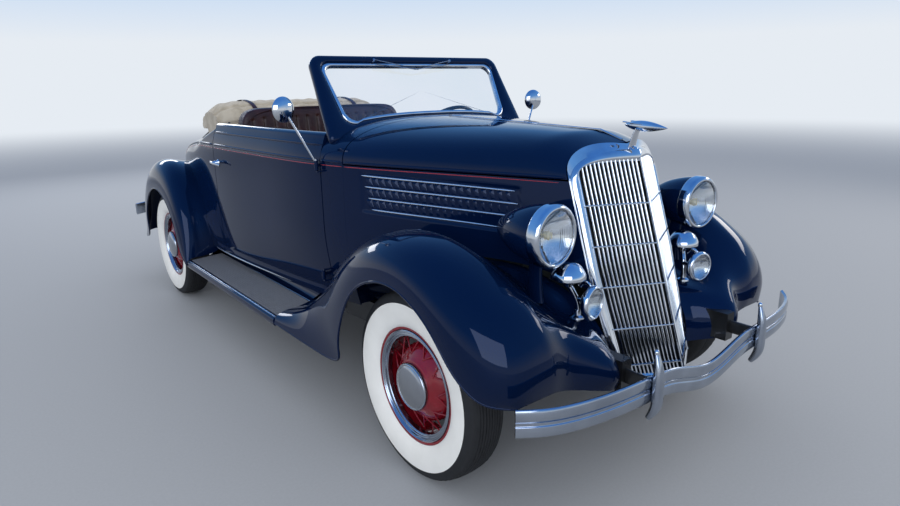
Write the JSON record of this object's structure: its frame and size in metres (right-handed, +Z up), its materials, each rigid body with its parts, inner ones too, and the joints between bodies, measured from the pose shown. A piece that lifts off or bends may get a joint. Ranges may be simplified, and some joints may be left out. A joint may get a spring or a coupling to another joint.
{
  "type": "vintage car",
  "caption": "Two-door open cabriolet of the mid 1930s on a ladder frame, with wire wheels, pointed grille, separate fenders, running boards and a rumble seat lid.",
  "frame": {"origin": "on the floor, under the middle of the car's length and width", "axes": "+Z up, the nose towards -Y, the car's own left at +X"},
  "size_m": [1.734, 4.645, 1.5553],
  "materials": {
    "navy_enamel": "gloss",
    "red_enamel": "gloss",
    "black_enamel": "satin",
    "chrome_plate": "mirror",
    "bare_steel": "satin",
    "cast_iron": "matt",
    "tyre_rubber": "matt, white side walls",
    "brown_leather": "satin",
    "grey_canvas": "matt",
    "clear_glass": "clear"
  },
  "bodies": {
    "chassis": {"cowl": "navy_enamel", "dashboard": "navy_enamel", "engine_block": "cast_iron", "exhaust": "bare_steel", "floor_pan": "black_enamel", "fog_lamp_and_horn_left": "chrome_plate", "fog_lamp_and_horn_right": "chrome_plate", "folded_top": "grey_canvas", "frame": "black_enamel", "front_axle": "black_enamel", "front_bumper": "chrome_plate", "front_fender_left": "navy_enamel", "front_fender_right": "navy_enamel", "fuel_tank": "black_enamel", "grille": "chrome_plate", "headlamp_left": "navy_enamel", "headlamp_right": "navy_enamel", "hood_hinge": "chrome_plate", "hood_side_left": "navy_enamel", "hood_side_right": "navy_enamel", "radiator": "black_enamel", "rear_axle": "black_enamel", "rear_body": "navy_enamel", "rear_bumper": "chrome_plate", "rear_fender_left": "navy_enamel", "rear_fender_right": "navy_enamel", "running_board_left": "black_enamel", "running_board_right": "black_enamel", "seat_back": "brown_leather", "seat_cushion": "brown_leather", "spare_tyre": "tyre_rubber", "spare_wheel": "red_enamel", "windscreen_glass": "clear_glass"},
    "hood_left": {"hood_left": "navy_enamel"},
    "hood_right": {"hood_right": "navy_enamel"},
    "door_left": {"door_left": "navy_enamel"},
    "door_right": {"door_right": "navy_enamel"},
    "rumble_lid": {"rumble_lid": "navy_enamel"},
    "front_knuckle_left": {"front_knuckle_left": "black_enamel"},
    "front_knuckle_right": {"front_knuckle_right": "black_enamel"},
    "tie_rod": {"tie_rod": "black_enamel"},
    "steering_wheel": {"steering_wheel": "black_enamel"},
    "front_wheel_left": {"front_wheel_left": "red_enamel", "front_tyre_left": "tyre_rubber"},
    "front_wheel_right": {"front_wheel_right": "red_enamel", "front_tyre_right": "tyre_rubber"},
    "rear_wheel_left": {"rear_wheel_left": "red_enamel", "rear_tyre_left": "tyre_rubber"},
    "rear_wheel_right": {"rear_wheel_right": "red_enamel", "rear_tyre_right": "tyre_rubber"}
  },
  "joints": [
    {"name": "hood_left_hinge", "type": "hinge", "parent": "chassis", "child": "hood_left", "pos_m": [0, -1.7775, 1.241], "axis": [0, -0.9996, -0.0285], "range_deg": [0, 60]},
    {"name": "hood_right_hinge", "type": "hinge", "parent": "chassis", "child": "hood_right", "pos_m": [0, -1.7775, 1.241], "axis": [0, 0.9996, 0.0285], "range_deg": [0, 60]},
    {"name": "door_left_hinge", "type": "hinge", "parent": "chassis", "child": "door_left", "pos_m": [0.655, -0.7235, 0.8], "axis": [0, 0, -1], "range_deg": [0, 65]},
    {"name": "door_right_hinge", "type": "hinge", "parent": "chassis", "child": "door_right", "pos_m": [-0.655, -0.7235, 0.8], "axis": [0, 0, 1], "range_deg": [0, 65]},
    {"name": "rumble_lid_hinge", "type": "hinge", "parent": "chassis", "child": "rumble_lid", "pos_m": [0, 1.7025, 0.87788], "axis": [-1, 0, 0], "range_deg": [0, 70]},
    {"name": "steer_left", "type": "hinge", "parent": "chassis", "child": "front_knuckle_left", "pos_m": [0.58, -1.5875, 0.357], "axis": [0, 0, 1], "range_deg": [-28, 28]},
    {"name": "steer_right", "type": "hinge", "parent": "chassis", "child": "front_knuckle_right", "pos_m": [-0.58, -1.5875, 0.357], "axis": [0, 0, 1], "range_deg": [-28, 28]},
    {"name": "tie_rod_eye", "type": "hinge", "parent": "front_knuckle_left", "child": "tie_rod", "pos_m": [0.58, -1.4475, 0.273], "axis": [0, 0, 1], "range_deg": [-28, 28]},
    {"name": "steering_wheel_turn", "type": "hinge", "parent": "chassis", "child": "steering_wheel", "pos_m": [0.36, -0.3525, 1.125], "axis": [0, 0.7431, 0.6691], "range_deg": [-364, 364]},
    {"name": "front_wheel_left_spin", "type": "hinge", "parent": "front_knuckle_left", "child": "front_wheel_left", "pos_m": [0.705, -1.5875, 0.357], "axis": [1, 0, 0], "continuous": true},
    {"name": "front_wheel_right_spin", "type": "hinge", "parent": "front_knuckle_right", "child": "front_wheel_right", "pos_m": [-0.705, -1.5875, 0.357], "axis": [1, 0, 0], "continuous": true},
    {"name": "rear_wheel_left_spin", "type": "hinge", "parent": "chassis", "child": "rear_wheel_left", "pos_m": [0.7375, 1.2575, 0.357], "axis": [1, 0, 0], "continuous": true},
    {"name": "rear_wheel_right_spin", "type": "hinge", "parent": "chassis", "child": "rear_wheel_right", "pos_m": [-0.7375, 1.2575, 0.357], "axis": [1, 0, 0], "continuous": true}
  ],
  "couplings": [
    {"joint": "steer_right", "follows": "steer_left", "ratio": 1},
    {"joint": "tie_rod_eye", "follows": "steer_left", "ratio": -1},
    {"joint": "steering_wheel_turn", "follows": "steer_left", "ratio": 13}
  ]
}
